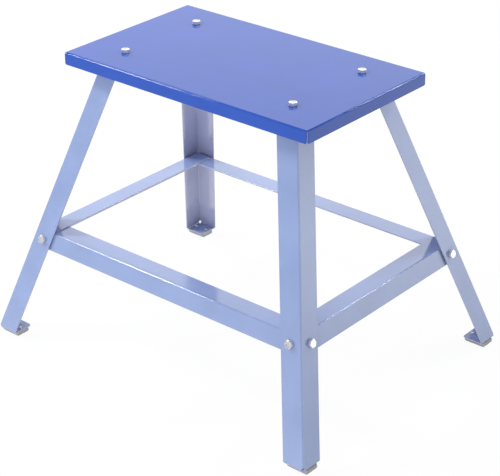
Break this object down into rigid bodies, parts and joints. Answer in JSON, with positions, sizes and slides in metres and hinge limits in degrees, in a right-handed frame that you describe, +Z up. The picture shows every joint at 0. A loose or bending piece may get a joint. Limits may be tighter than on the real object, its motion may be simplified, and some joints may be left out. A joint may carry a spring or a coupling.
{
  "type": "bench grinder stand",
  "caption": "Low four-legged workshop stand with a folded sheet-steel top, splayed angle legs on rubber feet and a bolted ring of angle stretchers.",
  "frame": {"origin": "centre of the stand's footprint, at floor level", "axes": "+X along the long side of the top, -Y towards the front, +Z up"},
  "size_m": [0.6866, 0.5258, 0.515],
  "materials": {
    "blue_paint": "gloss",
    "pale_blue_paint": "gloss",
    "zinc_plate": "bright zinc plate",
    "grey_rubber": "matt"
  },
  "bodies": {
    "root": {"top_plate": "blue_paint", "leg_front_left": "pale_blue_paint", "leg_front_right": "pale_blue_paint", "leg_rear_right": "pale_blue_paint", "leg_rear_left": "pale_blue_paint", "stretcher_front": "pale_blue_paint", "stretcher_right": "pale_blue_paint", "stretcher_rear": "pale_blue_paint", "stretcher_left": "pale_blue_paint", "foot_pad_front_left": "grey_rubber", "foot_pad_front_right": "grey_rubber", "foot_pad_rear_right": "grey_rubber", "foot_pad_rear_left": "grey_rubber", "foot_rivet_outer_front_left": "zinc_plate", "foot_rivet_outer_front_right": "zinc_plate", "foot_rivet_outer_rear_right": "zinc_plate", "foot_rivet_outer_rear_left": "zinc_plate", "foot_rivet_inner_front_left": "zinc_plate", "foot_rivet_inner_front_right": "zinc_plate", "foot_rivet_inner_rear_right": "zinc_plate", "foot_rivet_inner_rear_left": "zinc_plate", "long_bolt_front_left": "zinc_plate", "long_bolt_front_right": "zinc_plate", "long_bolt_rear_right": "zinc_plate", "long_bolt_rear_left": "zinc_plate", "long_washer_front_left": "zinc_plate", "long_washer_front_right": "zinc_plate", "long_washer_rear_right": "zinc_plate", "long_washer_rear_left": "zinc_plate", "long_nut_front_left": "zinc_plate", "long_nut_front_right": "zinc_plate", "long_nut_rear_right": "zinc_plate", "long_nut_rear_left": "zinc_plate", "short_bolt_front_left": "zinc_plate", "short_bolt_front_right": "zinc_plate", "short_bolt_rear_right": "zinc_plate", "short_bolt_rear_left": "zinc_plate", "short_washer_front_left": "zinc_plate", "short_washer_front_right": "zinc_plate", "short_washer_rear_right": "zinc_plate", "short_washer_rear_left": "zinc_plate", "short_nut_front_left": "zinc_plate", "short_nut_front_right": "zinc_plate", "short_nut_rear_right": "zinc_plate", "short_nut_rear_left": "zinc_plate", "top_bolt_front_left": "zinc_plate", "top_bolt_front_right": "zinc_plate", "top_bolt_rear_right": "zinc_plate", "top_bolt_rear_left": "zinc_plate", "top_washer_front_left": "zinc_plate", "top_washer_front_right": "zinc_plate", "top_washer_rear_right": "zinc_plate", "top_washer_rear_left": "zinc_plate", "top_nut_front_left": "zinc_plate", "top_nut_front_right": "zinc_plate", "top_nut_rear_right": "zinc_plate", "top_nut_rear_left": "zinc_plate"}
  },
  "joints": []
}
